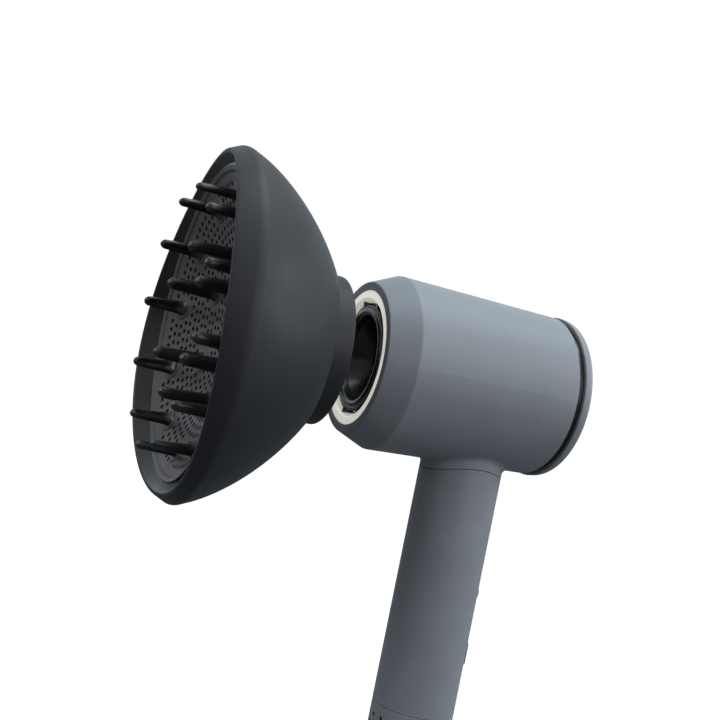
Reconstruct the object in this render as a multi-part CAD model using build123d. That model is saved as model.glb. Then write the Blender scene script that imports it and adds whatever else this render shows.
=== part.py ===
from build123d import *
import os
from math import cos, hypot, radians, sin

# Hand-held hair dryer with a magnetic diffuser, drawn just off its seat.
# Millimetres. Origin: middle of the grip, on the handle's axis. +Z runs up the
# handle to the barrel, and -Y is the way that the air leaves.

os.makedirs("parts", exist_ok=True)

# ---------------------------------------------------------------- barrel sizes
grip_to_barrel = 115.0        # height of the barrel's axis above the grip's middle
nose_to_handle = 65.0         # nose face to the handle's axis, along the barrel
barrel_radius = 41.0          # at the crease behind the nose cone
barrel_rear_radius = 39.2
barrel_length = 96.6
barrel_wall = 2.4
nose_radius = 35.3
nose_length = 13.1
nose_lip = 3.0                # thickness of the flat lip round the outlet
light_ring_radius = 31.5
light_ring_wall = 0.9
light_ring_flange = 1.5
slot_outer_radius = 27.7
core_radius = 23.8
core_wall = 2.2
core_lip = 1.8                # rounding of the core's front lip
core_start = 0.8              # nose face to the core's lip
core_throat_radius = 14.5
core_throat_depth = 16.0
rib_count = 10
rib_width = 0.9
grille_start = 2.0
grille_depth = 4.5
magnet_length = 3.0
carrier_length = 3.0
gap_ring_width = 3.0
gap_ring_inset = 1.3          # how far the ring lies inside the barrel's rear edge
cap_radius = 39.7
cap_depth = 5.8
cap_wall = 2.2
cap_mouth_radius = 20.5
heater_start = 18.0
heater_length = 44.0
heater_plate_count = 6
heater_plate_radius = 24.6
heater_wire_count = 6
heater_wire_radius = 0.7
shield_radius = 34.4
mica_thickness = 0.6

# ---------------------------------------------------------------- handle sizes
handle_radius = 19.8
handle_wall = 2.2
neck_fillet = 3.2
seam_drop = 3.6               # the seam lies on a drum this much larger than the barrel
seam_width = 0.35
joiner_length = 12.0
joiner_wall = 1.9
cage_top_depth = 158.0        # barrel's axis down to the filter cage's top edge
cage_length = 29.7
cage_wall = 1.6
cage_hole_radius = 1.1
cage_hole_rows = 5
cage_holes_round = 20
base_thickness = 2.5
inlet_wall = 1.4
inlet_slot_count = 12
screw_offset = 11.5           # each base screw from the handle's axis
gland_radius = 7.0
gland_length = 8.0
lead_hole_radius = 3.9
lead_hole_depth = 12.0

# ------------------------------------------------------------------- fan sizes
fan_top_depth = 53.0          # barrel's axis down to the fan unit's top
fan_length = 25.0
shroud_radius = 15.8
shroud_wall = 1.4
hub_radius = 9.0
hub_wall = 1.2
shaft_radius = 1.25
bearing_radius = 3.5
bearing_length = 2.5
rotor_radius = 4.4
magnet_stack = 10.0
vane_count = 9
blade_count = 11
blade_thickness = 0.8
blade_twist = 35.0            # blade's lean from the handle's axis, in degrees

# --------------------------------------------------------------- control sizes
button_radius = 5.0
button_proud = 1.2
button_flange = 1.2
button_travel = 1.0
button_angle = 28.0           # each rear button's angle from straight up
button_ring_radius = 28.6
cool_button_radius = 4.6
cool_button_depth = 100.0     # barrel's axis down to the cool-shot button
slider_width = 8.0
slider_height = 11.0
slider_proud = 1.8
slider_stem = 5.0
slider_travel = 12.0
slider_low_depth = 130.0      # barrel's axis down to the slider at rest, its low stop
board_half_width = 13.0
board_thickness = 1.6
board_y = 7.0
board_top_depth = 84.0
board_length = 66.0
spring_wire_radius = 0.3
spring_radius = 4.2
spring_turns = 4

# -------------------------------------------------------------- diffuser sizes
diffuser_gap = 15.5           # nose face to the collar's rear face, as drawn off
collar_radius = 34.3
collar_length = 11.5
duct_radius = 28.2
spigot_radius = 30.4
spigot_length = 9.0
clip_thickness = 1.4
collar_magnet_length = 3.4
crease_radius = 79.1
crease_depth = 73.6           # nose face to the crease behind the rim
rim_radius = 75.9
rim_depth = 81.7              # nose face to the rim's mean plane
rim_wave = 3.0                # the rim dips and rises by this, twice round
rim_wave_angle = 23.0
bowl_wall = 2.0
bowl_fullness = 1.46          # exponent of the bowl's curve: 1 is a cone, 2 an ellipse
bowl_curve_depth = 62.0
bowl_curve_centre = 14.4
bowl_curve_start = 76.1
plate_seat_radius = 69.4
plate_seat_depth = 76.2
plate_step = 5.0
plate_flat_radius = 66.0
plate_thickness = 1.8
plate_hole_radius = 1.5
plate_hole_rings = {8.0: 6, 15.0: 12, 22.0: 16, 38.5: 28, 45.0: 32, 50.5: 36}
prong_ring_radius = 57.0
prong_count = 12
prong_length = 18.9
prong_base_radius = 3.6
prong_tip_radius = 1.9
prong_angle = -6.9            # first prong's angle from +X towards +Z
inner_prong_ring_radius = 32.0
inner_prong_count = 6
inner_prong_length = 17.0
inner_prong_angle = 30.0

# ------------------------------------------------------------------ clearances
running_gap = 0.05            # a shaft in its bearing, a spigot in its bore
slide_gap = 0.4               # faces of pieces that move past each other
seat_gap = 0.1                # fixed pieces set side by side

# --------------------------------------------------------- worked-out values
barrel_axis = Pos(0, -nose_to_handle, grip_to_barrel)
handle_axis = Pos(0, 0, grip_to_barrel)
barrel_slope = (barrel_radius - barrel_rear_radius) / (barrel_length - nose_length)
nose_slope = (barrel_radius - nose_radius) / nose_length
seam_radius = barrel_radius + seam_drop
handle_bore = handle_radius - handle_wall
bore_fit_radius = handle_bore - seat_gap
cap_front = barrel_length + gap_ring_width
cap_back = cap_front + cap_depth
core_back_radius = core_throat_radius + core_wall
handle_y = nose_to_handle     # depth of the handle's axis behind the nose face


def barrel_bore_at(depth):
    """Inside radius of the barrel's body at a depth behind the nose face."""
    return barrel_radius - barrel_slope * (depth - nose_length) - barrel_wall


def turned_on_barrel(*outline, rounding=0):
    """Spin an outline of (radius, depth behind the nose face) round the barrel's axis."""
    edge = FilletPolyline(*outline, radius=rounding, close=True)
    return barrel_axis * revolve(make_face(edge), Axis.Y)


def turned_on_handle(*outline, rounding=0):
    """Spin an outline of (radius, depth below the barrel's axis) round the handle's axis."""
    points = [(radius, -depth) for radius, depth in outline]
    edge = FilletPolyline(*points, radius=rounding, close=True)
    return handle_axis * revolve(make_face(Plane.XZ * edge), Axis.Z)


def barrel_ring(outer, inner, start, end):
    """Plain ring round the barrel's axis between two depths."""
    return turned_on_barrel((inner, start), (outer, start), (outer, end), (inner, end))


def handle_ring(outer, inner, top, bottom):
    """Plain ring round the handle's axis between two depths."""
    return turned_on_handle((inner, top), (outer, top), (outer, bottom), (inner, bottom))


def along_barrel(radius, x, z, start, end):
    """Rod along Y at (x, z) from the barrel's axis, between two depths behind the nose."""
    middle = Pos(x, (start + end) / 2, z)
    return barrel_axis * middle * Rot(90, 0, 0) * Cylinder(radius, end - start)


def across_handle(radius, depth, start, end, x=0):
    """Rod along Y at a depth below the barrel's axis, from y=start to y=end."""
    return along_barrel(radius, x, -depth, handle_y + start, handle_y + end)


def box_between(low, high):
    """Box from one corner to the other, given from the barrel's axis over the handle."""
    size = [high[i] - low[i] for i in range(3)]
    middle = [(high[i] + low[i]) / 2 for i in range(3)]
    return handle_axis * Pos(*middle) * Box(*size)


def around_barrel(piece, angle):
    """Turn a piece drawn on the +X side round the barrel's axis, from +X towards +Z."""
    return barrel_axis * Rot(0, -angle, 0) * barrel_axis.inverse() * piece


def around_handle(piece, angle):
    """Turn a piece round the handle's axis."""
    return Rot(0, 0, angle) * piece


def on_circle(radius, angle):
    """X and Z of a point at an angle from +X towards +Z."""
    return radius * cos(radians(angle)), radius * sin(radians(angle))


def coil_spring(start, end):
    """Closed wire of a spring along +Z from start to end."""
    height = end - start - 2 * spring_wire_radius
    path = Helix(pitch=height / spring_turns, height=height, radius=spring_radius)
    section = Plane(origin=path @ 0, z_dir=path % 0) * Circle(spring_wire_radius)
    return Pos(0, 0, start + spring_wire_radius) * sweep(section, path=path, is_frenet=True)


def spring_along_y(start, end):
    """Spring wire that runs along +Y from start to end."""
    return Rot(-90, 0, 0) * coil_spring(start, end)


def save(name, *pieces):
    """Write one node from one or more solids."""
    solids = [solid for piece in pieces for solid in piece.solids()]
    shape = solids[0] if len(solids) == 1 else Compound(children=solids)
    shape.label = name
    export_step(shape, f"parts/{name}.step")


# =============================================================== barrel housing
def seam_drum(radius):
    """Drum round the barrel's axis that trims the neck's foot and the handle's top."""
    return barrel_ring(radius, 0, 0, barrel_length)


def is_neck_root(edge):
    """True for the edge where the neck meets the barrel."""
    point = edge @ 0.3
    from_handle = hypot(point.X, point.Y)
    from_barrel = hypot(point.X, point.Z - grip_to_barrel)
    on_handle = abs(from_handle - handle_radius) < 0.02
    return on_handle and from_barrel < barrel_radius and point.Z < grip_to_barrel


barrel = turned_on_barrel(
    (0, 0), (nose_radius, 0), (barrel_radius, nose_length),
    (barrel_rear_radius, barrel_length), (0, barrel_length),
    rounding=[0, 0.6, 1.5, 0.5, 0])
neck = handle_ring(handle_radius, 0, 0, seam_radius + 1) & seam_drum(seam_radius)
barrel = barrel + neck
barrel = fillet([edge for edge in barrel.edges() if is_neck_root(edge)], neck_fillet)
barrel_hollow = turned_on_barrel(
    (0, nose_lip), (nose_radius + nose_slope * nose_lip - barrel_wall, nose_lip),
    (barrel_radius - barrel_wall, nose_length + 1),
    (barrel_rear_radius - barrel_wall, barrel_length), (0, barrel_length))
barrel_mouth = barrel_ring(light_ring_radius + seat_gap, 0, 0, nose_lip)
neck_bore = handle_ring(handle_bore, 0, 0, seam_radius + 1)
save("barrel_shell", barrel - barrel_hollow - barrel_mouth - neck_bore)

# ================================================================ outlet pieces
ring_back = nose_lip + light_ring_flange
magnet_back = ring_back + magnet_length
carrier_back = magnet_back + carrier_length
ring_hold_radius = nose_radius - barrel_wall - seat_gap
save("light_ring", turned_on_barrel(
    (slot_outer_radius, 0.3), (light_ring_radius, 0.3), (light_ring_radius, nose_lip),
    (ring_hold_radius, nose_lip), (ring_hold_radius, ring_back),
    (slot_outer_radius + light_ring_wall, ring_back),
    (slot_outer_radius + light_ring_wall, carrier_back), (slot_outer_radius, carrier_back),
    rounding=[0.4, 0.4, 0, 0, 0, 0, 0, 0]))
magnet_bore = slot_outer_radius + light_ring_wall + seat_gap
save("nose_magnets", barrel_ring(ring_hold_radius, magnet_bore, ring_back, magnet_back))
save("nose_carrier", barrel_ring(ring_hold_radius + 1.5, magnet_bore, magnet_back, carrier_back))

save("core_tube", turned_on_barrel(
    (core_radius - 2 * core_lip, core_start), (core_radius, core_start), (core_radius, 9),
    (core_back_radius, core_throat_depth + 6), (core_back_radius, cap_front),
    (core_throat_radius, cap_front), (core_throat_radius, core_throat_depth),
    (core_radius - 2.6 * core_lip, 5.0),
    rounding=[core_lip, core_lip, 1, 3, 0, 0, 6, 4]))

grille_end = grille_start + grille_depth
rib = box_between(
    (core_radius + seat_gap + 0.4, grille_start - handle_y, -rib_width / 2),
    (slot_outer_radius - seat_gap, grille_end - handle_y, rib_width / 2))
grille = barrel_ring(core_radius + seat_gap + 0.8, core_radius + seat_gap, grille_start, grille_end)
grille += barrel_ring(core_radius + 2.2, core_radius + 1.8, grille_start + 0.6, grille_end)
for number in range(rib_count):
    grille += around_barrel(rib, 360 / rib_count * number)
save("outlet_grille", grille)

# =============================================================== heater pieces
heater_end = heater_start + heater_length
former_bore = core_back_radius + seat_gap
former_start = core_throat_depth + 8
former = barrel_ring(former_bore + 0.8, former_bore, former_start, heater_end)
plate_blank = box_between(
    (former_bore + 0.4, former_start - handle_y, -mica_thickness / 2),
    (heater_plate_radius, heater_end - handle_y, mica_thickness / 2))
for number in range(heater_plate_count):
    former += around_barrel(plate_blank, 360 / heater_plate_count * number)
save("heater_former", former)

wire_radius = heater_plate_radius + heater_wire_radius + seat_gap
wire_pitch = (heater_end - former_start - 4) / (heater_wire_count - 1)
wires = []
for number in range(heater_wire_count):
    depth = former_start + 2 + wire_pitch * number
    wires.append(barrel_axis * Pos(0, depth, 0) * Rot(90, 0, 0) * Torus(wire_radius, heater_wire_radius))
save("heater_wires", *wires)
shield_bore = shield_radius - mica_thickness
save("heat_shield", barrel_ring(shield_radius, shield_bore, heater_start - 3, heater_end))
save("thermostat", box_between(
    (-4, heater_end - 14 - handle_y, shield_bore - 5.5),
    (4, heater_end - 4 - handle_y, shield_bore - 0.4)))
fuse_x, fuse_z = on_circle(shield_bore - 2, 150)
save("thermal_fuse", along_barrel(1.3, fuse_x, fuse_z, heater_end - 18, heater_end - 6))
ioniser = box_between((-6, heater_end + 4 - handle_y, 24), (6, heater_end + 20 - handle_y, 31))
ioniser += along_barrel(0.5, 0, 27, heater_end - 4, heater_end + 4)
save("ioniser", ioniser)

# ================================================================= rear pieces
tab_radius = barrel_bore_at(barrel_length - 5) - 0.3
tab_bore = tab_radius - 3.2
gap_ring_radius = barrel_rear_radius - gap_ring_inset
save("gap_ring", turned_on_barrel(
    (tab_bore, barrel_length - 5), (tab_radius - 0.1, barrel_length - 5),
    (tab_radius - 0.1, barrel_length), (gap_ring_radius, barrel_length),
    (gap_ring_radius, cap_front), (tab_bore, cap_front)))

cap = turned_on_barrel(
    (core_throat_radius, cap_front), (core_back_radius + 2, cap_front),
    (cap_mouth_radius + 2, cap_back - cap_wall), (cap_radius - 4.5, cap_back - cap_wall - 0.6),
    (cap_radius - cap_wall, cap_front + 1.5), (cap_radius - cap_wall, cap_front),
    (cap_radius, cap_front), (cap_radius - 0.6, cap_back - 0.6), (cap_mouth_radius, cap_back),
    (core_throat_radius, cap_front + 1),
    rounding=[0, 0, 0, 1, 0, 0, 0.5, 3.2, 1.2, 0])
cap_face = cap_back - 0.4
button_angles = {"heat_button": 90 + button_angle, "speed_button": 90 - button_angle}
board_face = barrel_length - 1.0
switch_height = 3.0
button_foot = board_face + switch_height + button_travel + 0.3
button_spots = {}
for name, angle in button_angles.items():
    x, z = on_circle(button_ring_radius, angle)
    button_spots[name] = (x, z)
    cap -= along_barrel(button_radius + slide_gap / 2, x, z, cap_front - 1, cap_back + 1)
save("rear_cap", cap)

rear_board = barrel_ring(tab_bore - 0.5, core_back_radius + 1, board_face - board_thickness, board_face)
switches = []
flange_front = cap_back - cap_wall - 0.9
flange_back = flange_front - button_flange
for name, (x, z) in button_spots.items():
    button = along_barrel(button_radius, x, z, flange_front, cap_face + button_proud)
    button = fillet(button.faces().sort_by(Axis.Y)[-1].edges(), 0.6)
    button += along_barrel(button_radius + 1.2, x, z, flange_back, flange_front)
    button += along_barrel(1.4, x, z, button_foot, flange_back)
    save(name, button)
    spring = spring_along_y(board_face, flange_back)
    save(name.replace("button", "spring"), barrel_axis * Pos(x, 0, z) * spring)
    block = along_barrel(1.6, x, z, board_face, board_face + switch_height)
    foot = barrel_axis * Pos(x, board_face + 0.9, z) * Box(5, 1.8, 5)
    switches.append(block + foot)
save("button_board", rear_board)
save("tact_switches", *switches)

# =============================================================== handle pieces
seam_outer = seam_radius + seam_width
control_y = handle_radius + 5
slot_low = slider_low_depth + slider_stem / 2 + slide_gap
slot_high = slider_low_depth - slider_travel - slider_stem / 2 - slide_gap
sleeve = handle_ring(handle_radius, handle_bore, 30, cage_top_depth - seam_width)
sleeve -= seam_drum(seam_outer)
sleeve -= box_between(
    (-slider_stem / 2 - slide_gap, 0, -slot_low), (slider_stem / 2 + slide_gap, control_y, -slot_high))
sleeve -= across_handle(cool_button_radius + slide_gap / 2, cool_button_depth, 0, control_y)
save("handle_sleeve", sleeve)

joiner_top = seam_radius - joiner_length / 2
save("neck_joiner", handle_ring(
    bore_fit_radius, bore_fit_radius - joiner_wall, joiner_top, joiner_top + joiner_length))

# ------------------------------------------------------------------ fan unit
fan_bottom = fan_top_depth + fan_length
shroud_bore = shroud_radius - shroud_wall
hub_top = fan_top_depth + 1
hub_bottom = fan_bottom - 6.5
end_bore = bearing_radius + 0.02
shroud = handle_ring(shroud_radius, shroud_bore, fan_top_depth, fan_bottom)
shroud += turned_on_handle(
    (end_bore, hub_top), (hub_radius - 2, hub_top), (hub_radius, hub_top + 3),
    (hub_radius, hub_bottom), (hub_radius - hub_wall, hub_bottom),
    (hub_radius - hub_wall, hub_top + bearing_length), (end_bore, hub_top + bearing_length))
vane = box_between(
    (hub_radius - 0.6, -blade_thickness / 2, -(fan_top_depth + 12)),
    (shroud_bore + 0.6, blade_thickness / 2, -(fan_top_depth + 4)))
for number in range(vane_count):
    shroud += around_handle(vane, 360 / vane_count * number)
save("fan_shroud", shroud)

stack_top = hub_top + bearing_length + 1.5
stack_bottom = stack_top + magnet_stack
save("stator_core", handle_ring(
    hub_radius - hub_wall - 0.05, rotor_radius + slide_gap, stack_top, stack_bottom))
lower_bearing = hub_bottom - bearing_length
save("shaft_bearings",
     handle_ring(bearing_radius, shaft_radius + running_gap, hub_top, hub_top + bearing_length),
     handle_ring(bearing_radius, shaft_radius + running_gap, lower_bearing, hub_bottom))
save("bearing_bracket", handle_ring(
    hub_radius - hub_wall - 0.05, bearing_radius + 0.02, lower_bearing, hub_bottom))
save("motor_shaft", handle_ring(shaft_radius, 0, hub_top - 0.5, fan_bottom - 0.5))
save("rotor_magnet", handle_ring(rotor_radius, shaft_radius, stack_top, stack_bottom))

impeller_top = hub_bottom + 0.8
impeller = turned_on_handle(
    (shaft_radius, impeller_top), (hub_radius - 0.3, impeller_top),
    (hub_radius - 3.5, fan_bottom - 0.5), (shaft_radius, fan_bottom - 0.5))
blade_reach = shroud_bore - 0.35
blade_root = 3.0
blade = box_between(
    (blade_root, -blade_thickness / 2, -fan_bottom - 4),
    (blade_reach + 2, blade_thickness / 2, -impeller_top + 4))
blade = handle_axis * Pos(0, 0, -fan_bottom + 2.5) * Rot(blade_twist, 0, 0) * (
    Pos(0, 0, fan_bottom - 2.5) * handle_axis.inverse() * blade)
blade &= handle_ring(blade_reach, blade_root, impeller_top + 0.3, fan_bottom - 0.8)
for number in range(blade_count):
    impeller += around_handle(blade, 360 / blade_count * number)
save("impeller", impeller)

save("motor_mounts",
     handle_ring(bore_fit_radius, shroud_radius, fan_top_depth + 1, fan_top_depth + 5),
     handle_ring(bore_fit_radius, shroud_radius, fan_bottom - 5, fan_bottom - 1))

# ================================================================ control pieces
board_back = board_y + board_thickness
board = box_between(
    (-board_half_width, board_y, -board_top_depth - board_length),
    (board_half_width, board_back, -board_top_depth))
save("control_board", board)

cool_switch_face = board_back + 3.4
cool_switch = across_handle(1.6, cool_button_depth, board_back, cool_switch_face)
cool_switch += box_between(
    (-2.5, board_back, -cool_button_depth - 2.5), (2.5, board_back + 1.8, -cool_button_depth + 2.5))
save("cool_switch", cool_switch)

flange_radius = cool_button_radius + 1
flange_front = handle_radius - handle_wall - 1.6
cool_button = across_handle(cool_button_radius, cool_button_depth, flange_front, handle_radius + button_proud)
cool_button = fillet(cool_button.faces().sort_by(Axis.Y)[-1].edges(), 0.6)
cool_button += across_handle(flange_radius, cool_button_depth, flange_front - button_flange, flange_front)
cool_button += across_handle(
    1.4, cool_button_depth, cool_switch_face + button_travel + 0.3, flange_front - button_flange)
save("cool_button", cool_button)
save("cool_spring", handle_axis * Pos(0, 0, -cool_button_depth) * spring_along_y(
    board_back, flange_front - button_flange))

switch_top = slider_low_depth - slider_travel - slider_stem - 2
switch_bottom = slider_low_depth + slider_stem + 2
switch_front = board_back + 4.5
save("slide_switch", box_between((-4, board_back, -switch_bottom), (4, switch_front, -switch_top)))

pad = handle_ring(
    handle_radius + slider_proud, handle_radius + slide_gap,
    slider_low_depth - slider_height / 2, slider_low_depth + slider_height / 2)
pad &= box_between(
    (-slider_width / 2, 0, -slider_low_depth - slider_height),
    (slider_width / 2, 2 * handle_radius, -slider_low_depth + slider_height))
pad = fillet(pad.edges().filter_by(Axis.Y), 1.5)
stem = box_between(
    (-slider_stem / 2, switch_front + slide_gap, -slider_low_depth - slider_stem / 2),
    (slider_stem / 2, handle_radius + slide_gap + 0.6, -slider_low_depth + slider_stem / 2))
save("power_slider", pad + stem)

capacitor = box_between((-9, board_y - 9, -board_top_depth - 24), (-1, board_y, -board_top_depth - 8))
choke = across_handle(5, board_top_depth + 16, board_y - 7, board_y, x=6.5)
sink_bottom = -board_top_depth - 50
sink_top = -board_top_depth - 32
sink = box_between((-9, board_y - 8, sink_bottom), (9, board_y - 6.5, sink_top))
for side in (-8, -3, 2, 7):
    sink += box_between((side, board_y - 6.5, sink_bottom), (side + 1.2, board_y, sink_top))
save("board_parts", capacitor, choke, sink)

frame_bore = handle_ring(bore_fit_radius, 0, board_top_depth - 4, cage_top_depth)
frame_top = board_top_depth - 3.2
frame_bottom = board_top_depth + board_length
frame = handle_ring(bore_fit_radius, bore_fit_radius - 2, frame_top, board_top_depth)
frame += handle_ring(bore_fit_radius, bore_fit_radius - 2, frame_bottom, frame_bottom + 3)
for side in (-1, 1):
    low, high = sorted((side * (board_half_width + seat_gap), side * bore_fit_radius))
    rail = box_between((low, board_y - 3, -frame_bottom - 1), (high, board_back, -frame_top))
    frame += rail & frame_bore
save("handle_frame", frame)

# ============================================================= inlet and base
cage_bottom = cage_top_depth + cage_length
cage_bore = handle_radius - cage_wall
cage = turned_on_handle(
    (cage_bore, cage_top_depth), (handle_radius, cage_top_depth),
    (handle_radius, cage_bottom), (cage_bore, cage_bottom),
    rounding=[0, 0.3, 0.8, 0])
row_pitch = cage_length / (cage_hole_rows + 2)
for row in range(cage_hole_rows):
    depth = cage_top_depth + row_pitch * (row + 1.3)
    for number in range(cage_holes_round):
        angle = 360 / cage_holes_round * (number + row % 2 / 2)
        hole = Pos(handle_radius, 0, 0) * Rot(0, 90, 0) * Cylinder(cage_hole_radius, 3 * cage_wall)
        cage -= handle_axis * Pos(0, 0, -depth) * Rot(0, 0, angle) * hole
save("filter_cage", cage)

inlet_radius = cage_bore - slide_gap
base_top = cage_bottom - base_thickness
inlet = handle_ring(inlet_radius, inlet_radius - inlet_wall, cage_top_depth, base_top)
inlet += handle_ring(bore_fit_radius, inlet_radius - inlet_wall, cage_top_depth - 4, cage_top_depth + 1)
slot = box_between((5, -1.6, -base_top + 3), (25, 1.6, -cage_top_depth - 4))
for number in range(inlet_slot_count):
    inlet -= around_handle(slot, 360 / inlet_slot_count * (number + 0.5))
save("inlet_core", inlet)

base = handle_ring(inlet_radius, 0, base_top, cage_bottom)
base -= handle_ring(gland_radius - 1, 0, base_top, cage_bottom)
screws = []
for side in (-1, 1):
    seat = handle_axis * Pos(side * screw_offset, 0, -cage_bottom)
    base -= seat * Pos(0, 0, base_thickness / 2) * Cylinder(1.15, base_thickness)
    base -= seat * Pos(0, 0, 0.6) * Cylinder(2.4, 1.2)
    screw = seat * Pos(0, 0, 0.7) * Cylinder(2.2, 1.0)
    screw += seat * Pos(0, 0, 2.2) * Cylinder(1.1, 2.6)
    screw -= seat * Pos(0, 0, 0.2) * Box(0.7, 3.2, 1.0)
    screws.append(screw)
save("base_cap", base)
save("base_screws", *screws)

gland_end = cage_bottom + gland_length
save("lead_gland", turned_on_handle(
    (0, base_top - 3), (gland_radius - 1, base_top - 3),
    (gland_radius - 1, cage_bottom), (gland_radius, cage_bottom),
    (gland_radius - 1.5, gland_end), (lead_hole_radius, gland_end),
    (lead_hole_radius, gland_end - lead_hole_depth), (0, gland_end - lead_hole_depth),
    rounding=[0, 0, 0, 0.4, 1.2, 0, 0, 0]))

# ==================================================================== diffuser
collar_back = -diffuser_gap
collar_front = collar_back - collar_length
spigot_end = collar_front - spigot_length
magnet_inner = duct_radius + 1.3
magnet_outer = collar_radius - 1.3
save("neck_collar", turned_on_barrel(
    (duct_radius, spigot_end), (spigot_radius, spigot_end), (spigot_radius, collar_front),
    (collar_radius, collar_front), (collar_radius, collar_back), (magnet_outer, collar_back),
    (magnet_outer, collar_back - collar_magnet_length), (magnet_inner, collar_back - collar_magnet_length),
    (magnet_inner, collar_back), (duct_radius, collar_back),
    rounding=[0, 0, 0, 0.3, 1.0, 0, 0, 0, 0, 0.3]))
save("collar_magnets", barrel_ring(
    magnet_outer - 0.05, magnet_inner + 0.05, collar_back - collar_magnet_length, collar_back - 0.2))
save("collar_clip", barrel_ring(
    spigot_radius + 2, duct_radius, spigot_end - clip_thickness, spigot_end))


def bowl_point(angle):
    """Radius and depth on the bowl's outside curve; the angle runs from 0 at the crease to 90."""
    power = 2 / bowl_fullness
    spread = crease_radius - bowl_curve_centre
    radius = bowl_curve_centre + spread * cos(radians(angle)) ** power
    return radius, -bowl_curve_start + bowl_curve_depth * sin(radians(angle)) ** power


def bowl_side(inset, angles):
    """Smooth curve along the bowl, an inset inside its outer surface."""
    points = []
    for angle in angles:
        here = Vector(*bowl_point(angle))
        ahead = Vector(*bowl_point(angle + 0.5))
        along = (ahead - here).normalized()
        points.append((here.X + along.Y * -inset, here.Y + along.X * inset))
    return points


curve_angles = [8, 14, 22, 31, 40, 49, 58]
outer_curve = Spline(*[bowl_point(angle) for angle in curve_angles])
inner_curve = Spline(*bowl_side(bowl_wall, curve_angles))
rim_slope = (crease_radius - rim_radius) / (rim_depth - crease_depth)
blank_front = rim_depth + 2 * rim_wave
blank_radius = rim_radius - rim_slope * (blank_front - rim_depth)
neck_front = collar_front - slide_gap / 2
neck_bore_radius = spigot_radius + running_gap
seat_back_depth = plate_seat_depth - bowl_wall
rim_side = Polyline(
    (plate_seat_radius, -plate_seat_depth), (blank_radius - bowl_wall, -blank_front),
    (blank_radius, -blank_front), (crease_radius, -crease_depth), outer_curve @ 0)
neck_side = Polyline(
    outer_curve @ 1, (collar_radius + 1, neck_front - 2), (collar_radius, neck_front),
    (neck_bore_radius, neck_front), (neck_bore_radius, spigot_end + slide_gap), inner_curve @ 1)
seat_side = Polyline(
    inner_curve @ 0, (plate_seat_radius, -seat_back_depth), (plate_seat_radius, -plate_seat_depth))
bowl = barrel_axis * revolve(make_face([rim_side, outer_curve, neck_side, inner_curve, seat_side]), Axis.Y)
wave_rise = 2 * rim_wave
wave_radius = (rim_radius ** 2 + wave_rise ** 2) / (2 * wave_rise)
wave_drum = Pos(0, -rim_depth + rim_wave - wave_radius, 0) * Cylinder(wave_radius, 4 * rim_radius)
save("diffuser_bowl", bowl - barrel_axis * Rot(0, -rim_wave_angle, 0) * wave_drum)

plate_front = plate_seat_depth - plate_step
plate_edge = plate_seat_radius - seat_gap
plate = turned_on_barrel(
    (0, -plate_front), (plate_flat_radius, -plate_front), (plate_edge - 0.8, -plate_seat_depth),
    (plate_edge, -plate_seat_depth), (plate_edge, -seat_back_depth),
    (plate_flat_radius + 1.2, -plate_front + plate_thickness), (0, -plate_front + plate_thickness))
for ring_radius, count in plate_hole_rings.items():
    for number in range(count):
        x, z = on_circle(ring_radius, 360 / count * number)
        plate -= along_barrel(plate_hole_radius, x, z, -plate_front - 1, -plate_front + plate_thickness + 1)
save("diffuser_plate", plate)


def prong(length):
    """One round-ended tapered finger, standing forward from the plate at the barrel's axis."""
    return turned_on_barrel(
        (0, -plate_front), (prong_base_radius, -plate_front), (prong_tip_radius, -plate_front - length),
        (0, -plate_front - length), rounding=[0, 0, prong_tip_radius * 0.8, 0])


def prong_circle(ring_radius, count, first_angle, length):
    """Fingers evenly round a circle on the plate."""
    fingers = []
    for number in range(count):
        x, z = on_circle(ring_radius, first_angle + 360 / count * number)
        fingers.append(Pos(x, 0, z) * prong(length))
    return fingers


save("outer_prongs", *prong_circle(prong_ring_radius, prong_count, prong_angle, prong_length))
save("inner_prongs", *prong_circle(
    inner_prong_ring_radius, inner_prong_count, inner_prong_angle, inner_prong_length))
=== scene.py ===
import math

import bmesh
import bpy
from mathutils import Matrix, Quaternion, Vector
from mathutils.geometry import delaunay_2d_cdt
from mathutils.kdtree import KDTree


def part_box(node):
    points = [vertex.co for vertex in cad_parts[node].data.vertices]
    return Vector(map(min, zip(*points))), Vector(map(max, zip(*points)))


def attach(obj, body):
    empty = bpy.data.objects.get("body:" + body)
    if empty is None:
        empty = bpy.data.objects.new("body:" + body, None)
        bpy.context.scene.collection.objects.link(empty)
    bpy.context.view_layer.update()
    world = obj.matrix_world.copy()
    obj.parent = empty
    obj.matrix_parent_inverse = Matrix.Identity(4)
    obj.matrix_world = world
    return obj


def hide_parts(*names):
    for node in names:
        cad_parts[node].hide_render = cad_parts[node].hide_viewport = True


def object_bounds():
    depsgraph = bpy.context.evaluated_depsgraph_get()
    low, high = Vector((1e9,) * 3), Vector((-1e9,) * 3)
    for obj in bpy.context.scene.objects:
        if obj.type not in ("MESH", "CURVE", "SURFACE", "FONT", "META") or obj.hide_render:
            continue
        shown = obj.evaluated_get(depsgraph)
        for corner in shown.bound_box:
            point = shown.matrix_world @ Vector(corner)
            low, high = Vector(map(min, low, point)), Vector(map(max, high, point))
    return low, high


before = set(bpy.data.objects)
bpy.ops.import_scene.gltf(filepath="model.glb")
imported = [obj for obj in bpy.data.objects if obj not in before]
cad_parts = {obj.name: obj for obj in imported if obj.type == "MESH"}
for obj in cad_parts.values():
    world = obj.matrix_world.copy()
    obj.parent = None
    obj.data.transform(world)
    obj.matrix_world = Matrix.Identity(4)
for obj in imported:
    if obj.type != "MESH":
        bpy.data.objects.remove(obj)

cad_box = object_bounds()

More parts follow.
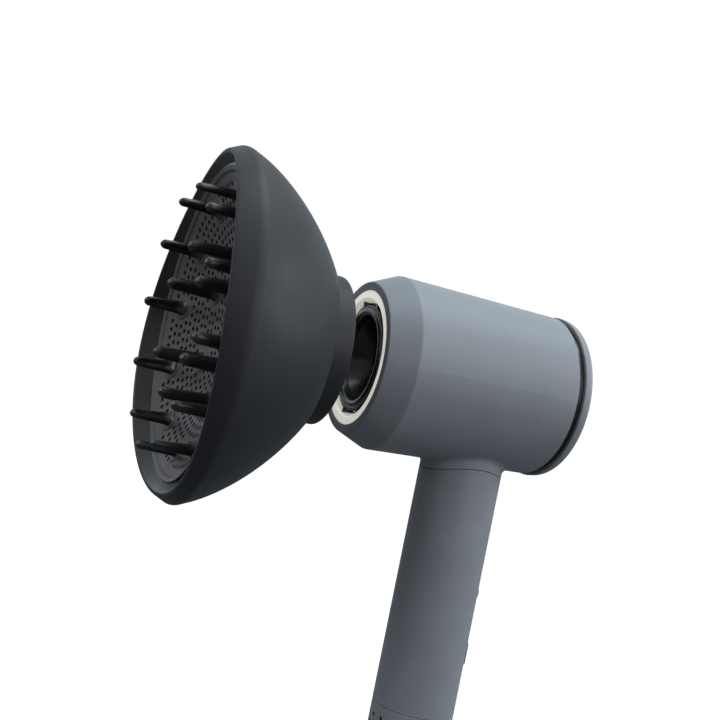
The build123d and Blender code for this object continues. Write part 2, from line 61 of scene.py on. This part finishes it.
# ---------------------------------------------------------------------- studio
# The dryer hangs alone in a white studio: a pale floor just below it, a large
# softbox overhead, smaller ones behind, in front and at its side, and a weak fill
# from everywhere that is brighter and cooler from above. Places are in metres.
mm = 0.001
core_low, core_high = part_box("core_tube")
nose_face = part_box("barrel_shell")[0].y
axis_height = (core_low.z + core_high.z) / 2
nose_centre = Vector((0, nose_face, axis_height))
camera_distance = 479.7 * mm
camera_azimuth = math.radians(68.0)
camera_elevation = math.radians(-1.27)
camera_roll = math.radians(11.54)
camera_lens = 52.1
camera_shift = (0.0057, -0.0045)
floor_size = 60.0
floor_drop = 40 * mm                # room for the cage when it is pulled down
paper_glow = 0.95
background_white = 1.02
bright_side = (-0.68, 0.22, 0.70)   # where the fill comes from, as seen from the dryer
fill_dim, fill_bright = 0.45, 0.85


def linear(code):
    """A hex sRGB colour as linear RGBA."""
    parts = [int(code[i:i + 2], 16) / 255 for i in (1, 3, 5)]
    flat = [p / 12.92 if p <= 0.04045 else ((p + 0.055) / 1.055) ** 2.4 for p in parts]
    return (*flat, 1.0)


def add(tree, kind, settings=None, links=None):
    """Adds a node, sets its properties and sockets by name, and links sources to its inputs."""
    made = tree.nodes.new(kind)
    for name, value in (settings or {}).items():
        if isinstance(name, str) and hasattr(made, name):
            setattr(made, name, value)
        else:
            made.inputs[name].default_value = value
    for name, source in (links or {}).items():
        tree.links.new(source, made.inputs[name])
    return made


def blank_material(name):
    """A material with an empty node tree."""
    material = bpy.data.materials.new(name)
    material.use_nodes = True
    material.node_tree.nodes.clear()
    return material, material.node_tree


def linked(name, mesh):
    """A new object in the scene for a mesh."""
    made = bpy.data.objects.new(name, mesh)
    bpy.context.scene.collection.objects.link(made)
    return made


# White paper sweep: it looks evenly white, but throws back only a little light.
paper, tree = blank_material("matt_white_paper_sweep")
rays = add(tree, "ShaderNodeLightPath")
glow = add(tree, "ShaderNodeMath", {"operation": "MULTIPLY", 1: paper_glow}, {
    0: rays.outputs["Is Camera Ray"]})
fibre = add(tree, "ShaderNodeTexNoise", {"Scale": 900.0, "Detail": 3.0})
lift = add(tree, "ShaderNodeBump", {"Strength": 0.05, "Distance": 0.0002}, {"Height": fibre.outputs[0]})
surface = add(tree, "ShaderNodeBsdfPrincipled", {
    "Base Color": linear("#5c5e60"), "Roughness": 0.9, "Specular IOR Level": 0.1,
    "Emission Color": (1, 1, 1, 1)}, {
    "Emission Strength": glow.outputs[0], "Normal": lift.outputs[0]})
add(tree, "ShaderNodeOutputMaterial", None, {"Surface": surface.outputs[0]})

sheet = bmesh.new()
bmesh.ops.create_grid(sheet, x_segments=8, y_segments=8, size=floor_size / 2)
floor_mesh = bpy.data.meshes.new("floor")
sheet.to_mesh(floor_mesh)
sheet.free()
floor_mesh.materials.append(paper)
floor = linked("floor", floor_mesh)
floor.location = (0, 0, cad_box[0].z - floor_drop)

# The world looks plain white, but lights the dryer only softly, cool from above.
world = bpy.data.worlds.new("white_studio")
bpy.context.scene.world = world
world.use_nodes = True
tree = world.node_tree
tree.nodes.clear()
rays = add(tree, "ShaderNodeLightPath")
direction = add(tree, "ShaderNodeTexCoord")
toward_light = add(tree, "ShaderNodeVectorMath", {"operation": "DOT_PRODUCT", 1: bright_side}, {
    0: direction.outputs["Generated"]})
fill = add(tree, "ShaderNodeMapRange", {
    "From Min": -0.7, "From Max": 1.0, "To Min": fill_dim, "To Max": fill_bright}, {
    "Value": toward_light.outputs["Value"]})
shown = add(tree, "ShaderNodeMix", {"data_type": "FLOAT", 3: background_white}, {
    0: rays.outputs["Is Camera Ray"], 2: fill.outputs[0]})
warmth = add(tree, "ShaderNodeMapRange", {"From Min": -0.7, "From Max": 0.5}, {
    "Value": toward_light.outputs["Value"]})
cast = add(tree, "ShaderNodeMix", {
    "data_type": "RGBA", 6: linear("#fff3ee"), 7: linear("#eefaff")}, {0: warmth.outputs[0]})
seen = add(tree, "ShaderNodeMix", {"data_type": "RGBA", 7: (1, 1, 1, 1)}, {
    0: rays.outputs["Is Camera Ray"], 6: cast.outputs[2]})
sky = add(tree, "ShaderNodeBackground", None, {
    "Color": seen.outputs[2], "Strength": shown.outputs[0]})
add(tree, "ShaderNodeOutputWorld", None, {"Surface": sky.outputs[0]})


def softbox(name, place, size, power, tint):
    """A large square light that points at the barrel."""
    light = bpy.data.lights.new(name, "AREA")
    light.shape = "SQUARE"
    light.size = size
    light.energy = power
    light.color = tint
    lamp = linked(name, light)
    lamp.location = Vector(place)
    lamp.rotation_mode = "QUATERNION"
    lamp.rotation_quaternion = (Vector(place) - nose_centre).to_track_quat("Z", "Y")


softbox("overhead_softbox", (0.15, 0.15, 1.15), 0.9, 11.0, (0.84, 0.97, 1.0))
softbox("rear_softbox", (0.35, 1.1, 0.55), 0.6, 8.0, (0.92, 0.98, 1.0))
softbox("front_softbox", (-0.1, -1.2, 0.6), 0.6, 4.0, (0.94, 0.98, 1.0))
softbox("side_softbox", (1.1, 0.2, 0.55), 0.8, 7.0, (0.96, 0.98, 1.0))

# The camera looks at the nose face from the right and slightly below, rolled a little.
camera_data = bpy.data.cameras.new("camera")
camera_data.lens = camera_lens
camera_data.sensor_width = 36.0
camera_data.shift_x, camera_data.shift_y = camera_shift
camera_data.clip_start = 0.01
camera = linked("camera", camera_data)
flat = math.cos(camera_elevation)
toward_camera = Vector((
    math.sin(camera_azimuth) * flat, -math.cos(camera_azimuth) * flat, math.sin(camera_elevation)))
camera.location = nose_centre + toward_camera * camera_distance
camera.rotation_mode = "QUATERNION"
camera.rotation_quaternion = toward_camera.to_track_quat("Z", "Y") @ Quaternion((0, 0, 1), camera_roll)
bpy.context.scene.camera = camera
bpy.context.scene.view_settings.view_transform = "Standard"

# ------------------------------------------- barrel, handle, rear cap and cage
# The dryer's outside is injection-moulded ABS, sprayed with soft-touch lacquer.
# The barrel and its neck are one moulding; the sleeve meets it at a fine seam.


def moulded(name, colour, worn, roughness, grain_mm, relief_mm, mottle_mm=18.0, shine=0.5, **extra):
    """Moulded or sprayed plastic: a fine grain in relief, faint handling patches and worn edges."""
    material, tree = blank_material(name)
    place = add(tree, "ShaderNodeTexCoord").outputs["Object"]
    grain = add(tree, "ShaderNodeTexNoise", {
        "Scale": 1000 / grain_mm, "Detail": 4.0, "Roughness": 0.6}, {"Vector": place})
    patches = add(tree, "ShaderNodeTexNoise", {
        "Scale": 1000 / mottle_mm, "Detail": 5.0, "Roughness": 0.55}, {"Vector": place})
    specks = add(tree, "ShaderNodeTexVoronoi", {"Scale": 1000 / (grain_mm * 3)}, {"Vector": place})
    rounded_normal = add(tree, "ShaderNodeBevel", {"samples": 4, "Radius": 0.7 * mm})
    own_normal = add(tree, "ShaderNodeNewGeometry")
    turned = add(tree, "ShaderNodeVectorMath", {"operation": "DOT_PRODUCT"}, {
        0: rounded_normal.outputs[0], 1: own_normal.outputs["Normal"]})
    edge = add(tree, "ShaderNodeMapRange", {"From Min": 0.99, "From Max": 0.86}, {
        "Value": turned.outputs["Value"]})
    rubbed = add(tree, "ShaderNodeMath", {"operation": "MULTIPLY"}, {
        0: edge.outputs[0], 1: patches.outputs[0]})
    tone = add(tree, "ShaderNodeMix", {
        "data_type": "RGBA", 6: linear(colour), 7: linear(worn)}, {0: rubbed.outputs[0]})
    shade = add(tree, "ShaderNodeMapRange", {
        "From Min": 0.3, "From Max": 0.7, "To Min": 0.94, "To Max": 1.06}, {"Value": patches.outputs[0]})
    tinted = add(tree, "ShaderNodeHueSaturation", None, {
        "Color": tone.outputs[2], "Value": shade.outputs[0]})
    dull = add(tree, "ShaderNodeMapRange", {
        "From Min": 0.3, "From Max": 0.7, "To Min": roughness - 0.05, "To Max": roughness + 0.06}, {
        "Value": patches.outputs[0]})
    relief = add(tree, "ShaderNodeMath", {"operation": "MULTIPLY_ADD", 1: 0.35}, {
        0: specks.outputs["Distance"], 2: grain.outputs[0]})
    bump = add(tree, "ShaderNodeBump", {"Strength": 0.6, "Distance": relief_mm * mm}, {
        "Height": relief.outputs[0]})
    surface = add(tree, "ShaderNodeBsdfPrincipled", {
        "IOR": 1.5, "Specular IOR Level": shine, **extra}, {
        "Base Color": tinted.outputs[0], "Roughness": dull.outputs[0], "Normal": bump.outputs[0]})
    add(tree, "ShaderNodeOutputMaterial", None, {"Surface": surface.outputs[0]})
    return material


def dress(material, *names):
    """Gives CAD nodes a finish."""
    for name in names:
        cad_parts[name].data.materials.clear()
        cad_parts[name].data.materials.append(material)


# Soft-touch lacquer on ABS: no mirror reflection, only a wide dim glow on the top.
soft_touch_lacquer = moulded(
    "soft_touch_lacquer_grey", "#6a6e75", "#7c8087", 0.5, 0.35, 0.012, shine=0.35,
    **{"Sheen Weight": 0.08, "Sheen Roughness": 0.5})
dress(soft_touch_lacquer, "barrel_shell", "handle_sleeve", "rear_cap", "filter_cage")
# The two long round mouldings shade smoothly where the light grazes their facets.
for name in ("barrel_shell", "handle_sleeve"):
    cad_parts[name].cycles.shadow_terminator_offset = 0.3

# ------------------------------------------------------ white ring at the outlet
# The ring round the outlet is opal acrylic, pushed into the nose from behind: gloss on
# top and milky inside. A painted glow keeps it evenly bright all the way round.
painted_glow_acrylic = moulded(
    "gloss_moulded_opal_acrylic_painted_glow", "#f4f3ea", "#ffffff", 0.22, 0.8, 0.002, mottle_mm=9.0,
    # The emission is a painted glow; the ring is no lamp.
    **{"Emission Color": linear("#fffdf0"), "Emission Strength": 0.42})
dress(painted_glow_acrylic, "light_ring")

# ------------------------------------ core, outlet grille, gap ring and buttons
# The core tube, the grille's ribs and the ring before the rear cap are heat-proof
# nylon from a polished tool, deep black with clear glints. Buttons are satin ABS.
gloss_black_nylon = moulded(
    "polished_moulded_nylon_black", "#0f0c0c", "#26262a", 0.27, 0.9, 0.003, mottle_mm=7.0,
    **{"Coat Weight": 0.12, "Coat Roughness": 0.15})
dress(gloss_black_nylon, "core_tube", "outlet_grille", "gap_ring")

# Button caps come from a finely blasted tool, so they look darker grey and satin.
satin_black_abs = moulded(
    "satin_moulded_abs_black", "#1b1b1e", "#38383c", 0.38, 0.5, 0.008, mottle_mm=5.0)
dress(satin_black_abs, "heat_button", "speed_button", "cool_button", "power_slider")

# ---------------------------------------------------- diffuser bowl and collar
# The bowl is one deep ABS moulding with a blasted surface, charcoal with a blue
# cast. Its front band runs from the crease to a rim that rises and dips twice.
# Its sizes are in millimetres, with depths measured back from the nose face.
crease_radius = 79.1
crease_depth = -73.6
rim_radius = 75.9
rim_depth = -81.7
rim_width = 1.5
rim_wave = 3.0
wave_angle = math.radians(23.0)
plate_seat_radius = 69.4
plate_seat_depth = -76.2
bowl_wall = 2.0
collar_radius = 34.3
collar_front = -27.2
socket_radius = 30.5
socket_end = -35.6
curve_foot = (14.4, -76.1)          # radius and depth of the curve's own centre
curve_reach = (64.7, 62.0)          # how far the curve goes out and back from there
curve_fullness = 1.46               # 2 would be an ellipse, less is flatter
curve_turns = range(10, 59, 2)
turns = 240


def at(radius, depth, angle):
    """Point at a radius from the barrel's axis, a depth and an angle from +X towards +Z."""
    return Vector((
        radius * mm * math.cos(angle), nose_face + depth * mm,
        axis_height + radius * mm * math.sin(angle)))


def rounded(corners, steps=5):
    """Outline through (radius, depth, rounding) corners with the rounded ones turned to curves."""
    outline = []
    for number, (radius, depth, rounding) in enumerate(corners):
        here = Vector((radius, depth))
        if not rounding:
            outline.append(here)
            continue
        before = Vector(corners[number - 1][:2]) - here
        after = Vector(corners[(number + 1) % len(corners)][:2]) - here
        start = here + before.normalized() * rounding
        end = here + after.normalized() * rounding
        for step in range(steps + 1):
            share = step / steps
            outline.append(
                start * (1 - share) ** 2 + here * 2 * share * (1 - share) + end * share ** 2)
    return outline


def mesh_from(name, points, faces, material, sharp=32):
    """Mesh object with smooth faces that break only at edges sharper than an angle."""
    mesh = bpy.data.meshes.new(name)
    mesh.from_pydata(points, [], faces)
    shaped = bmesh.new()
    shaped.from_mesh(mesh)
    bmesh.ops.recalc_face_normals(shaped, faces=shaped.faces)
    shaped.to_mesh(mesh)
    shaped.free()
    mesh.shade_smooth()
    mesh.set_sharp_from_angle(angle=math.radians(sharp))
    mesh.materials.append(material)
    return linked(name, mesh)


def bowl_curve(angle, inset):
    """Point on the bowl's outside curve, set in from it by a wall; 0 is at the crease."""
    power = 2 / curve_fullness

    def outside(turn):
        across = curve_reach[0] * math.cos(math.radians(turn)) ** power
        back = curve_reach[1] * math.sin(math.radians(turn)) ** power
        return Vector(curve_foot) + Vector((across, back))

    along = (outside(angle + 0.5) - outside(angle)).normalized()
    return outside(angle) + Vector((-along.y, along.x)) * inset


# Round the bowl's section, corner by corner: radius, depth and how far it is rounded.
outer_side = [(*bowl_curve(turn, 0), 0) for turn in reversed(curve_turns)]
inner_side = [(*bowl_curve(turn, bowl_wall), 0) for turn in curve_turns]
bowl_corners = [
    (socket_radius, collar_front, 0), (collar_radius, collar_front, 0.6),
    (collar_radius + 1, collar_front - 2, 0.8), *outer_side, (crease_radius, crease_depth, 2.2),
    (rim_radius, rim_depth, 0.8), (rim_radius - rim_width, rim_depth, 0.6),
    (plate_seat_radius + 1.6, plate_seat_depth + 0.4, 0.5),
    (plate_seat_radius, plate_seat_depth + 0.4, 0.2), (plate_seat_radius, plate_seat_depth + 2, 0),
    *inner_side, (socket_radius, socket_end, 0)]
outline = rounded(bowl_corners)


def waved(radius, depth, angle):
    """Depth after the rim's wave, which fades out towards the crease and the plate's seat."""
    share = min(1, max(0, (plate_seat_depth - depth) / (plate_seat_depth - rim_depth)))
    if radius > rim_radius - 0.5:
        share = min(1, max(0, (crease_depth - depth) / (crease_depth - rim_depth)))
    return depth - rim_wave * share * math.cos(2 * (angle - wave_angle))


points = []
faces = []
for turn in range(turns):
    angle = math.tau * turn / turns
    points += [at(p.x, waved(p.x, p.y, angle), angle) for p in outline]
rows = len(outline)
past_rim = next(
    k for k, p in enumerate(outline) if p.y < rim_depth + 0.2 and p.x < rim_radius - rim_width)
inside = range(past_rim, rows - 1)
for turn in range(turns):
    for row in range(rows):
        here = turn * rows + row
        ahead = (turn + 1) % turns * rows + row
        step = (row + 1) % rows - row
        faces.append((here, here + step, ahead + step, ahead))

# Blasted ABS: dull from the front, with a bluish bloom where it turns away.
blasted_abs = moulded(
    "blasted_moulded_abs_charcoal", "#1e1f24", "#303238", 0.52, 0.45, 0.02, shine=0.22,
    **{"Sheen Weight": 0.03, "Sheen Roughness": 0.45, "Sheen Tint": linear("#a9c2cc")})
# The inner faces come off the polished core of the tool, so they are satin. Their
# near-black colour, darker than the outside, is painted shade for the deep recess.
satin_inner_abs_painted_shade = moulded(
    "satin_moulded_abs_inner_painted_shade", "#121013", "#2b292d", 0.3, 0.7, 0.006, mottle_mm=14.0)
bowl = mesh_from("bowl_moulding", points, faces, blasted_abs)
# The inner rows take the darker material: painted shade inside the bowl.
bowl.data.materials.append(satin_inner_abs_painted_shade)
for number, face in enumerate(bowl.data.polygons):
    face.material_index = int(number % rows in inside)
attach(bowl, "diffuser")
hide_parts("diffuser_bowl")
dress(blasted_abs, "neck_collar")

# ---------------------------------------------------------- diffuser air plate
# The plate is a thin dished disc pressed into the bowl's mouth. Its holes are
# moulded ring inside ring, and it is left plain round each finger's foot.
plate_radius = 69.25
plate_dish = 16.2
plate_thickness = 1.8
hole_pitch = 4.1
ring_step = 3.6
hole_radius = 1.15
hole_sides = 12
holes_reach = 62.6
plain_middle = 6.0
foot_radius = 5.6
foot_height = 0.5
foot_slope = 0.4
foot_gap = 0.3                      # left plain between a foot and the nearest hole
lip_radius = 66.9
lip_slope = 0.7
lip_drop = 0.7
edge_rings = (plate_radius, 68.6, 67.6, lip_radius, 66.0)
edge_sides = 180
foot_sides = 36
outer_ring, outer_count, outer_first = 57.0, 12, -6.9
inner_ring, inner_count, inner_first = 32.0, 6, 30.0


def ring_of_feet(radius, count, first):
    """Where a ring of fingers stands, as points across the plate, with each one's angle."""
    angles = [math.radians(first + 360 / count * number) for number in range(count)]
    return [(Vector((radius * math.cos(a), radius * math.sin(a))), a) for a in angles]


outer_feet = ring_of_feet(outer_ring, outer_count, outer_first)
inner_feet = ring_of_feet(inner_ring, inner_count, inner_first)
feet = [foot for foot, _ in outer_feet + inner_feet]


def plate_surface(radius):
    """Depth of the dished front at a radius, with a low lip at the edge."""
    dish = plate_seat_depth + plate_dish * (1 - (radius / plate_radius) ** 2)
    return dish - lip_drop * min(1, max(0, (radius - lip_radius) / lip_slope))


def circle(centre, radius, sides):
    """Points round a circle on the plate."""
    return [
        centre + Vector((math.cos(math.tau * k / sides), math.sin(math.tau * k / sides))) * radius
        for k in range(sides)]


def hole_spots():
    """Centres of the holes, ring inside ring, clear of the feet and the plain middle."""
    rings = int((holes_reach - plain_middle) / ring_step) + 1
    for ring in range(rings):
        radius = holes_reach - ring * ring_step
        count = round(math.tau * radius / hole_pitch)
        for number in range(count):
            angle = math.tau * (number + ring % 2 / 2) / count
            spot = Vector((radius * math.cos(angle), radius * math.sin(angle)))
            if all((spot - foot).length > foot_radius + hole_radius + foot_gap for foot in feet):
                yield spot


def pierced_disc():
    """Flat points and triangles of the disc, with lines round its rings, feet and holes."""
    flat_points = []
    lines = []

    def draw(loop):
        start = len(flat_points)
        flat_points.extend(loop)
        lines.extend((start + k, start + (k + 1) % len(loop)) for k in range(len(loop)))

    for ring in edge_rings:
        draw(circle(Vector((0, 0)), ring, edge_sides))
    for foot in feet:
        draw(circle(foot, foot_radius, foot_sides))
        draw(circle(foot, foot_radius - foot_slope, foot_sides))
    spots = list(hole_spots())
    nearest = KDTree(len(spots))
    for number, spot in enumerate(spots):
        draw(circle(spot, hole_radius, hole_sides))
        nearest.insert((spot.x, spot.y, 0), number)
    nearest.balance()
    corners, _, triangles, *_ = delaunay_2d_cdt(flat_points, lines, [], 0, 1e-5)
    kept = []
    for triangle in triangles:
        middle = (corners[triangle[0]] + corners[triangle[1]] + corners[triangle[2]]) / 3
        if nearest.find((middle.x, middle.y, 0))[2] > hole_radius:
            kept.append(triangle)
    return corners, kept


def dished(corner):
    """Where a flat point comes to lie on the dished front, raised round a finger's foot."""
    near = min((corner - foot).length for foot in feet)
    raised = foot_height * min(1, max(0, (foot_radius - near) / foot_slope))
    return at(corner.length, plate_surface(corner.length) - raised, math.atan2(corner.y, corner.x))


def plate_piece():
    """The pierced plate: a dished front, the same face again behind it, and walls between."""
    corners, triangles = pierced_disc()
    shaped = bmesh.new()
    made = [shaped.verts.new(dished(corner)) for corner in corners]
    for triangle in triangles:
        shaped.faces.new([made[k] for k in triangle])
    loose = [v for v in shaped.verts if not v.link_faces]
    bmesh.ops.delete(shaped, geom=loose, context="VERTS")
    bmesh.ops.recalc_face_normals(shaped, faces=shaped.faces)
    if sum(face.normal.y for face in shaped.faces) > 0:
        bmesh.ops.reverse_faces(shaped, faces=shaped.faces)
    front = shaped.faces[:]
    copied = bmesh.ops.duplicate(shaped, geom=front)
    back = [g for g in copied["geom"] if isinstance(g, bmesh.types.BMFace)]
    for vertex in {v for face in back for v in face.verts}:
        vertex.co.y += plate_thickness * mm
    bmesh.ops.reverse_faces(shaped, faces=back)
    twin = copied["vert_map"]
    for edge in [e for face in front for e in face.edges if len(e.link_faces) == 1]:
        a, b = edge.verts
        shaped.faces.new((b, a, twin[a], twin[b]))
    bmesh.ops.recalc_face_normals(shaped, faces=shaped.faces)
    mesh = bpy.data.meshes.new("air_plate")
    shaped.to_mesh(mesh)
    shaped.free()
    mesh.shade_smooth()
    mesh.set_sharp_from_angle(angle=math.radians(28))
    return linked("air_plate", mesh)


# Moulded polypropylene: warm dark grey, with a waxy half-shine.
moulded_polypropylene = moulded(
    "moulded_polypropylene_grey", "#3f3a3d", "#555056", 0.42, 0.6, 0.01, mottle_mm=12.0)
plate = plate_piece()
plate.data.materials.append(moulded_polypropylene)
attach(plate, "diffuser")
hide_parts("diffuser_plate")

# -------------------------------------------------------------- finger circles
# Twelve slim fingers stand round the plate and six thicker ones near its middle.
# Each is nylon in a silicone skin, with a round tip and a scooped inner face.
finger_sides = 28
root_sunk = 0.6                     # a finger starts this far behind the plate's front
root_levels = (0, 0.35, 0.8, 1.5, 2.6, 4, 6)
root_flare = 1.5                    # how much wider it is at the root, and how soon that fades
root_flare_height = 0.7
taper = 0.8                         # below 1, it narrows sooner near the root
shank_steps = 6
dome_height = 1.15                  # of the round tip, as a share of its half width
dome_turns = (18, 36, 52, 66, 78, 86)
scoop_spread = 0.62                 # half angle of the scoop in radians
scoop_end_gap = 1.2                 # the scoop stops this far below the tip
scoop_end_fade = 4.0
scoop_root_fade = 3.0


def finger_levels(height, dome):
    """Heights of a finger's rings: close together at the root and the tip, even between."""
    shank = height - dome - root_levels[-1]
    even = [root_levels[-1] + shank * step / shank_steps for step in range(1, shank_steps + 1)]
    round_tip = [height - dome + dome * math.sin(math.radians(turn)) for turn in dome_turns]
    return [*root_levels, *even, *round_tip]


def finger(foot, toward, tip_depth, foot_half, tip_half, flatness, scoop):
    """Rings of points and faces of one finger; its scoop faces the plate's middle."""
    foot_depth = plate_surface(foot.length) + root_sunk
    height = foot_depth - tip_depth
    dome = tip_half * dome_height
    levels = finger_levels(height, dome)
    outward = Vector((math.cos(toward), math.sin(toward)))
    sideways = Vector((-math.sin(toward), math.cos(toward)))
    shown = []
    for level in levels:
        half = foot_half + (tip_half - foot_half) * (level / height) ** taper
        half += root_flare * math.exp(-level / root_flare_height)
        over = max(0, (level - height + dome) / dome)
        half *= math.sqrt(max(0.0, 1 - over ** 2))
        below_tip = min(1, max(0, (height - level - scoop_end_gap) / scoop_end_fade))
        hollow = scoop * below_tip * min(1, level / scoop_root_fade)
        for side in range(finger_sides):
            turn = math.tau * side / finger_sides
            from_inner_side = abs(turn - math.pi)
            dent = hollow * math.exp(-(from_inner_side / scoop_spread) ** 2)
            spot = foot + outward * half * flatness * math.cos(turn) * (1 - dent)
            spot += sideways * half * math.sin(turn)
            shown.append(at(spot.length, foot_depth - level, math.atan2(spot.y, spot.x)))
    top = len(shown)
    shown.append(at(foot.length, tip_depth, toward))
    skin = []
    for low in range(0, top - finger_sides, finger_sides):
        for side in range(finger_sides):
            beside = (side + 1) % finger_sides
            skin.append((low + side, low + beside, low + finger_sides + beside, low + finger_sides + side))
    last = top - finger_sides
    skin += [(last + side, last + (side + 1) % finger_sides, top) for side in range(finger_sides)]
    skin.append(tuple(reversed(range(finger_sides))))
    return shown, skin


def finger_circle(name, standing, node, material, **shape):
    """One piece with every finger of a ring."""
    points = []
    faces = []
    for foot, toward in standing:
        shown, skin = finger(foot, toward, **shape)
        faces += [tuple(k + len(points) for k in face) for face in skin]
        points += shown
    made = mesh_from(name, points, faces, material, sharp=60)
    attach(made, "diffuser")
    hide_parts(node)


# Silicone skin over nylon: almost black, with soft broad glints on the round tips.
silicone_skin = moulded(
    "moulded_silicone_skin_black", "#161518", "#2e2d31", 0.34, 0.7, 0.006, mottle_mm=6.0)
finger_circle(
    "outer_finger_ring", outer_feet, "outer_prongs", silicone_skin,
    tip_depth=-90.0, foot_half=3.4, tip_half=2.2, flatness=0.85, scoop=0.7)
finger_circle(
    "inner_finger_ring", inner_feet, "inner_prongs", silicone_skin,
    tip_depth=-86.5, foot_half=3.7, tip_half=2.6, flatness=1.0, scoop=0.25)

# ------------------------------------------------- magnets and the collar's clip
# Ring magnets in the nose and the collar pull the diffuser on. They are sintered
# and nickel-plated: a smooth pale metal with a faint warm tone. The clip is steel.


def metal(name, colour, roughness, streak_mm, stretch, relief_mm=0.004, **extra):
    """Bare or plated metal with fine marks drawn out along one direction."""
    material, tree = blank_material(name)
    place = add(tree, "ShaderNodeTexCoord").outputs["Object"]
    drawn = add(tree, "ShaderNodeMapping", {"Scale": stretch}, {"Vector": place})
    marks = add(tree, "ShaderNodeTexNoise", {"Scale": 1000 / streak_mm, "Detail": 3.0}, {
        "Vector": drawn.outputs[0]})
    stains = add(tree, "ShaderNodeTexNoise", {"Scale": 120.0, "Detail": 4.0}, {"Vector": place})
    tone = add(tree, "ShaderNodeMapRange", {"To Min": 0.8, "To Max": 1.12}, {"Value": stains.outputs[0]})
    tinted = add(tree, "ShaderNodeHueSaturation", {"Color": linear(colour)}, {"Value": tone.outputs[0]})
    dull = add(tree, "ShaderNodeMapRange", {
        "To Min": roughness - 0.1, "To Max": roughness + 0.14}, {"Value": marks.outputs[0]})
    bump = add(tree, "ShaderNodeBump", {"Strength": 0.5, "Distance": relief_mm * mm}, {
        "Height": marks.outputs[0]})
    surface = add(tree, "ShaderNodeBsdfPrincipled", {"Metallic": 1.0, **extra}, {
        "Base Color": tinted.outputs[0], "Roughness": dull.outputs[0], "Normal": bump.outputs[0]})
    add(tree, "ShaderNodeOutputMaterial", None, {"Surface": surface.outputs[0]})
    return material


dress(metal("nickel_plated_magnet", "#b9b3a8", 0.28, 0.6, (1, 1, 1)),
      "nose_magnets", "collar_magnets", "rotor_magnet")

# Cold-rolled steel: grey, with fine rolling marks that blur what it mirrors.
rolled_steel = metal("cold_rolled_steel", "#a7a8aa", 0.32, 0.4, (1, 0.15, 1))
dress(rolled_steel, "collar_clip", "thermal_fuse", "shaft_bearings", "motor_shaft", "base_screws")

# Spring steel wire, drawn and oil-hardened: darker, with a tight bright line.
dress(metal("drawn_spring_steel", "#8b8c90", 0.25, 0.3, (1, 1, 0.2)),
      "heat_spring", "speed_spring", "cool_spring")

# --------------------------------------------------------------- heater pieces
# The heater is a cross of mica boards round the core, wound with resistance wire
# and wrapped in a mica sleeve. Mica is pressed flake: tan, speckled, faintly shiny.
mica, tree = blank_material("pressed_flake_mica")
place = add(tree, "ShaderNodeTexCoord").outputs["Object"]
flakes = add(tree, "ShaderNodeTexVoronoi", {"Scale": 1000 / 1.6, "Randomness": 1.0}, {"Vector": place})
flake_tone = add(tree, "ShaderNodeSeparateColor", None, {0: flakes.outputs["Color"]})
mixed = add(tree, "ShaderNodeMix", {
    "data_type": "RGBA", 6: linear("#9a8763"), 7: linear("#c9b88f")}, {0: flake_tone.outputs[0]})
glint = add(tree, "ShaderNodeMapRange", {"To Min": 0.25, "To Max": 0.55}, {"Value": flake_tone.outputs[1]})
bump = add(tree, "ShaderNodeBump", {"Strength": 0.4, "Distance": 0.03 * mm}, {
    "Height": flakes.outputs["Distance"]})
surface = add(tree, "ShaderNodeBsdfPrincipled", {"IOR": 1.58}, {
    "Base Color": mixed.outputs[2], "Roughness": glint.outputs[0], "Normal": bump.outputs[0]})
add(tree, "ShaderNodeOutputMaterial", None, {"Surface": surface.outputs[0]})
dress(mica, "heat_shield", "heater_former")

# Nickel-chrome wire, oxidised by its first heating: dull brown-grey metal.
dress(metal("oxidised_nichrome_wire", "#6f655c", 0.5, 0.3, (1, 1, 1)), "heater_wires")

# --------------------------------------------------------------- fan and motor
# The impeller, hub and shroud are machined aluminium, clear anodised: pale metal
# with fine turning marks round the handle's axis. The stator's coils are copper.
anodised_aluminium = metal("anodised_turned_aluminium", "#c3c6c9", 0.34, 0.35, (0.2, 0.2, 1))
dress(anodised_aluminium, "impeller", "fan_shroud", "bearing_bracket", "board_parts")
dress(metal("enamelled_copper_winding", "#b0603a", 0.3, 0.45, (0.15, 0.15, 1), 0.05,
            **{"Coat Weight": 0.6, "Coat Roughness": 0.1}), "stator_core")

# Silicone rubber: dull black, a little dusty, with no sharp reflection at all.
silicone_rubber = moulded(
    "moulded_silicone_rubber_black", "#1c1b1d", "#343336", 0.72, 0.5, 0.015, mottle_mm=8.0, shine=0.3)
dress(silicone_rubber, "motor_mounts", "lead_gland")

# ------------------------------------------------- boards, switches and carriers
# Boards are glass-epoxy with a dark green solder mask over etched copper tracks.
# Carriers, frames and switch bodies are plain black glass-filled nylon.
board, tree = blank_material("solder_masked_glass_epoxy")
place = add(tree, "ShaderNodeTexCoord").outputs["Object"]
tracks = add(tree, "ShaderNodeTexBrick", {
    "Scale": 1000 / 9.0, "Mortar Size": 0.03, "Color1": linear("#0c3a26"), "Color2": linear("#0e4029"),
    "Mortar": linear("#1f6b45")}, {"Vector": place})
weave = add(tree, "ShaderNodeTexNoise", {"Scale": 1000 / 0.5, "Detail": 2.0}, {"Vector": place})
bump = add(tree, "ShaderNodeBump", {"Strength": 0.4, "Distance": 0.03 * mm}, {"Height": tracks.outputs[1]})
dull = add(tree, "ShaderNodeMapRange", {"To Min": 0.22, "To Max": 0.42}, {"Value": weave.outputs[0]})
surface = add(tree, "ShaderNodeBsdfPrincipled", {"IOR": 1.55}, {
    "Base Color": tracks.outputs[0], "Roughness": dull.outputs[0], "Normal": bump.outputs[0]})
add(tree, "ShaderNodeOutputMaterial", None, {"Surface": surface.outputs[0]})
dress(board, "button_board", "control_board")

glass_filled_nylon = moulded(
    "glass_filled_nylon_black", "#202024", "#3a3a3e", 0.55, 0.4, 0.02, mottle_mm=6.0)
dress(glass_filled_nylon, "nose_carrier", "thermostat", "ioniser", "tact_switches", "slide_switch",
      "cool_switch", "handle_frame", "neck_joiner", "inlet_core", "base_cap")
